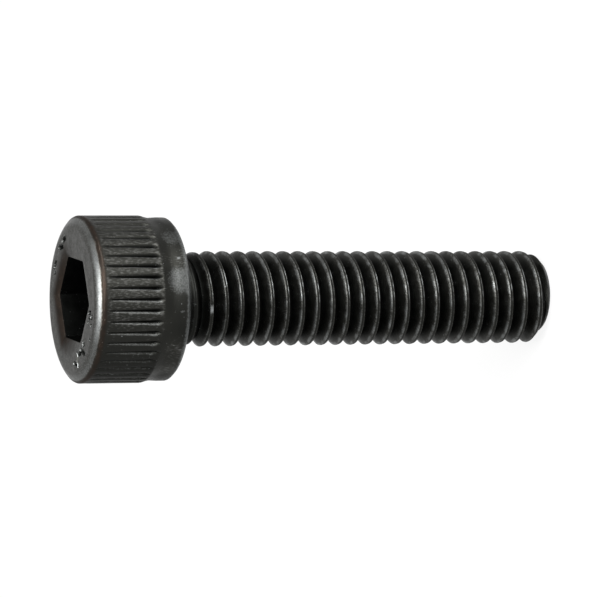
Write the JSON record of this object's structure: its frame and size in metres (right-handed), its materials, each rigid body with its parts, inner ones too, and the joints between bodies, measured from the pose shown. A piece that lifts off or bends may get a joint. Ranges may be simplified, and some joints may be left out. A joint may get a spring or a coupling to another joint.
{
  "type": "hex socket cap screw",
  "caption": "Fully threaded cap screw with a straight-knurled cylindrical head and a hexagon socket.",
  "frame": {"origin": "centre of the bearing face under the head", "axes": "+Z along the screw's axis, out of the socket; the shank runs down -Z and its flat end is the lowest face"},
  "size_m": [0.0102, 0.0102, 0.031],
  "materials": {
    "blackened_steel": "oiled black oxide on alloy steel, satin"
  },
  "bodies": {
    "root": {"cap_screw": "blackened_steel"}
  },
  "joints": []
}
